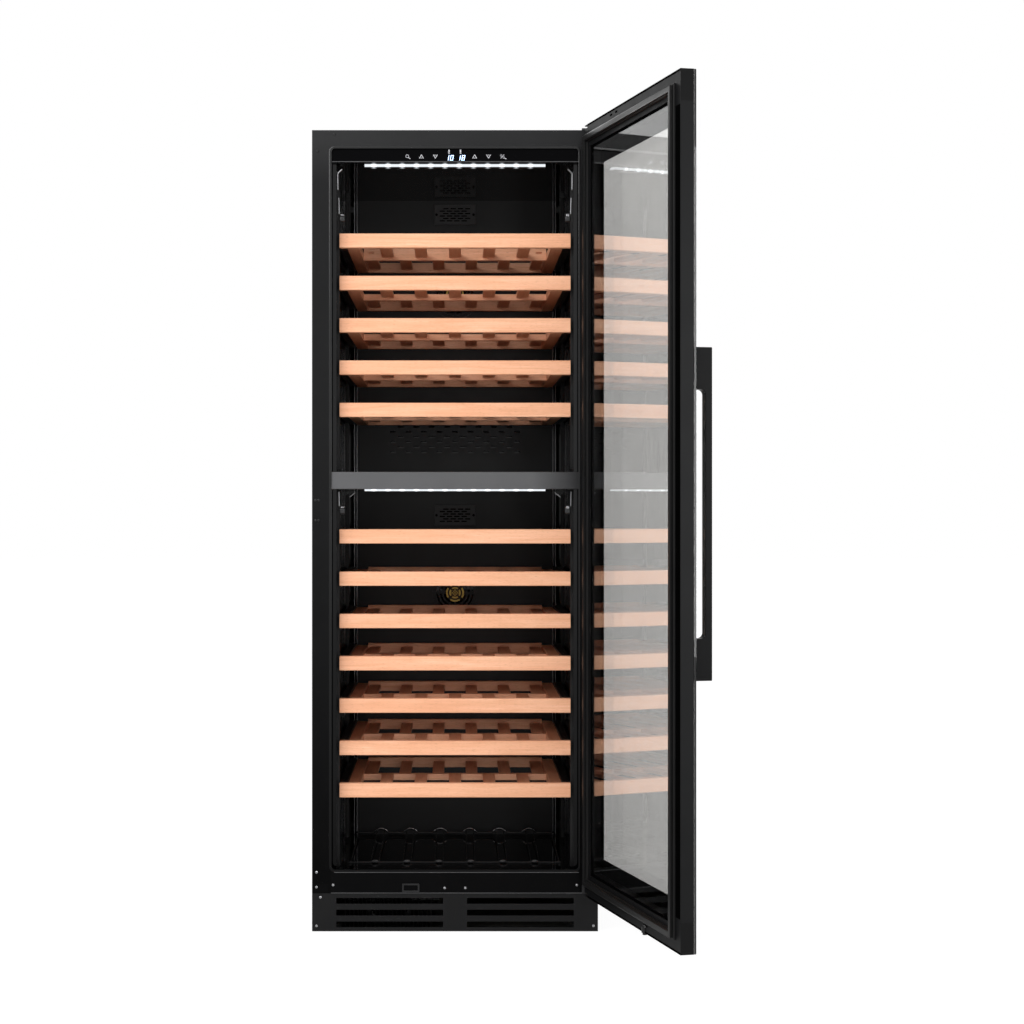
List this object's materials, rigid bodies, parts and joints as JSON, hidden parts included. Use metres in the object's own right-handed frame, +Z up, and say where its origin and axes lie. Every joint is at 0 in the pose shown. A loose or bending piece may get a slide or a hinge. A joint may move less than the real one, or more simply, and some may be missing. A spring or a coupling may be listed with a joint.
{
  "type": "wine cooler",
  "caption": "Tall two-zone built-in wine cooler with a hinged double-glazed door, sliding slatted wooden shelves, a wire floor rack, touch controls, lamps and a plinth grille.",
  "frame": {"origin": "centre of the cabinet's footprint, on the floor, which is the underside of the base pan", "axes": "+X to the right seen from the front, where the door is hinged; +Y from the front to the back; +Z up"},
  "size_m": [0.763, 1.2278, 1.674],
  "materials": {
    "casing_steel": "satin dark charcoal paint",
    "zinc_steel": "plain zinc-coated sheet",
    "black_steel": "satin black paint",
    "black_liner": "black moulded plastic, softly glossy",
    "foam": "foamed-in-place insulation, pale yellow",
    "grey_trim": "satin dark grey paint",
    "filter_card": "matt yellow-brown filter cap",
    "coil_aluminium": "thin rolled aluminium fins on tubes",
    "fan_plastic": "matt black plastic",
    "lamp_lens": "warm white lamp lens",
    "strip_plastic": "gloss dark touch panel",
    "circuit_board": "green circuit board",
    "compressor_black": "black enamelled shell",
    "tray_plastic": "grey moulded tray",
    "screw_black": "black screw heads",
    "rack_wire": "black coated wire",
    "slide_steel": "rolled zinc-plated steel",
    "lock_metal": "nickel-plated lock parts",
    "inlet_plastic": "black moulded inlet",
    "foot_plastic": "black glass-filled plastic foot",
    "door_black": "fine-grained satin black aluminium profile",
    "door_glass": "tinted safety glass with a black printed border on the outer pane",
    "spacer_black": "black pane spacer",
    "gasket_rubber": "soft black magnetic gasket",
    "bush_brass": "turned brass bush",
    "shelf_wood": "oiled beech, fine straight grain"
  },
  "bodies": {
    "cabinet": {"side_panel_left": "casing_steel", "side_panel_right": "casing_steel", "top_panel": "casing_steel", "back_panel": "zinc_steel", "base_pan": "zinc_steel", "front_frame": "black_steel", "upper_liner": "black_liner", "lower_liner": "black_liner", "insulation": "foam", "divider_trim": "grey_trim", "upper_duct_panel": "black_liner", "lower_duct_panel": "black_liner", "vent_covers": "black_liner", "fan_grilles": "black_liner", "charcoal_filters": "filter_card", "evaporators": "coil_aluminium", "fan_housings": "fan_plastic", "led_bars": "lamp_lens", "control_panel": "strip_plastic", "control_board": "circuit_board", "compressor": "compressor_black", "condenser": "coil_aluminium", "condensate_tray": "tray_plastic", "kick_grille": "black_steel", "panel_screws": "screw_black", "wire_rack": "rack_wire", "slide_pilasters": "black_liner", "shelf_slides": "slide_steel", "upper_hinge_bracket": "black_steel", "lower_hinge_bracket": "black_steel", "lock_keeper": "lock_metal", "power_inlet": "inlet_plastic"},
    "door": {"door_frame": "door_black", "outer_glass": "door_glass", "inner_glass": "door_glass", "glass_spacer": "spacer_black", "door_gasket": "gasket_rubber", "handle": "door_black", "hinge_bushes": "bush_brass", "lock_housing": "lock_metal"},
    "lock_cam": {"lock_cam": "lock_metal"},
    "shelf_01": {"shelf_01": "shelf_wood"},
    "shelf_02": {"shelf_02": "shelf_wood"},
    "shelf_03": {"shelf_03": "shelf_wood"},
    "shelf_04": {"shelf_04": "shelf_wood"},
    "shelf_05": {"shelf_05": "shelf_wood"},
    "shelf_06": {"shelf_06": "shelf_wood"},
    "shelf_07": {"shelf_07": "shelf_wood"},
    "shelf_08": {"shelf_08": "shelf_wood"},
    "shelf_09": {"shelf_09": "shelf_wood"},
    "shelf_10": {"shelf_10": "shelf_wood"},
    "shelf_11": {"shelf_11": "shelf_wood"},
    "shelf_12": {"shelf_12": "shelf_wood"},
    "upper_fan_rotor": {"upper_fan_rotor": "fan_plastic"},
    "lower_fan_rotor": {"lower_fan_rotor": "fan_plastic"},
    "condenser_fan_rotor": {"condenser_fan_rotor": "fan_plastic"},
    "foot_front_left": {"foot_front_left": "foot_plastic"},
    "foot_front_right": {"foot_front_right": "foot_plastic"},
    "foot_rear_left": {"foot_rear_left": "foot_plastic"},
    "foot_rear_right": {"foot_rear_right": "foot_plastic"}
  },
  "joints": [
    {"name": "door_hinge", "type": "hinge", "parent": "cabinet", "child": "door", "pos_m": [0.286, -0.34, 0.876], "axis": [0, 0, 1], "range_deg": [-103.3, 6.7]},
    {"name": "shelf_01_slide", "type": "slide", "parent": "cabinet", "child": "shelf_01", "axis": [0, -1, 0], "range_m": [0, 0.3]},
    {"name": "shelf_02_slide", "type": "slide", "parent": "cabinet", "child": "shelf_02", "axis": [0, -1, 0], "range_m": [0, 0.3]},
    {"name": "shelf_03_slide", "type": "slide", "parent": "cabinet", "child": "shelf_03", "axis": [0, -1, 0], "range_m": [0, 0.3]},
    {"name": "shelf_04_slide", "type": "slide", "parent": "cabinet", "child": "shelf_04", "axis": [0, -1, 0], "range_m": [0, 0.3]},
    {"name": "shelf_05_slide", "type": "slide", "parent": "cabinet", "child": "shelf_05", "axis": [0, -1, 0], "range_m": [0, 0.3]},
    {"name": "shelf_06_slide", "type": "slide", "parent": "cabinet", "child": "shelf_06", "axis": [0, -1, 0], "range_m": [0, 0.3]},
    {"name": "shelf_07_slide", "type": "slide", "parent": "cabinet", "child": "shelf_07", "axis": [0, -1, 0], "range_m": [0, 0.3]},
    {"name": "shelf_08_slide", "type": "slide", "parent": "cabinet", "child": "shelf_08", "axis": [0, -1, 0], "range_m": [0, 0.3]},
    {"name": "shelf_09_slide", "type": "slide", "parent": "cabinet", "child": "shelf_09", "axis": [0, -1, 0], "range_m": [0, 0.3]},
    {"name": "shelf_10_slide", "type": "slide", "parent": "cabinet", "child": "shelf_10", "axis": [0, -1, 0], "range_m": [0, 0.3]},
    {"name": "shelf_11_slide", "type": "slide", "parent": "cabinet", "child": "shelf_11", "axis": [0, -1, 0], "range_m": [0, 0.3]},
    {"name": "shelf_12_slide", "type": "slide", "parent": "cabinet", "child": "shelf_12", "axis": [0, -1, 0], "range_m": [0, 0.3]},
    {"name": "lock_turn", "type": "hinge", "parent": "door", "child": "lock_cam", "pos_m": [0.35962, -0.70793, 0.084], "axis": [0, 0, -1], "range_deg": [0, 90]},
    {"name": "upper_fan_spin", "type": "hinge", "parent": "cabinet", "child": "upper_fan_rotor", "pos_m": [0, 0.264, 1.381], "axis": [0, 1, 0], "continuous": true},
    {"name": "lower_fan_spin", "type": "hinge", "parent": "cabinet", "child": "lower_fan_rotor", "pos_m": [0, 0.264, 0.682], "axis": [0, 1, 0], "continuous": true},
    {"name": "condenser_fan_spin", "type": "hinge", "parent": "cabinet", "child": "condenser_fan_rotor", "pos_m": [-0.14, -0.223, 0.0475], "axis": [0, 1, 0], "continuous": true},
    {"name": "foot_front_left_height", "type": "slide", "parent": "cabinet", "child": "foot_front_left", "axis": [0, 0, -1], "range_m": [0, 0.015]},
    {"name": "foot_front_right_height", "type": "slide", "parent": "cabinet", "child": "foot_front_right", "axis": [0, 0, -1], "range_m": [0, 0.015]},
    {"name": "foot_rear_left_height", "type": "slide", "parent": "cabinet", "child": "foot_rear_left", "axis": [0, 0, -1], "range_m": [0, 0.015]},
    {"name": "foot_rear_right_height", "type": "slide", "parent": "cabinet", "child": "foot_rear_right", "axis": [0, 0, -1], "range_m": [0, 0.015]}
  ]
}
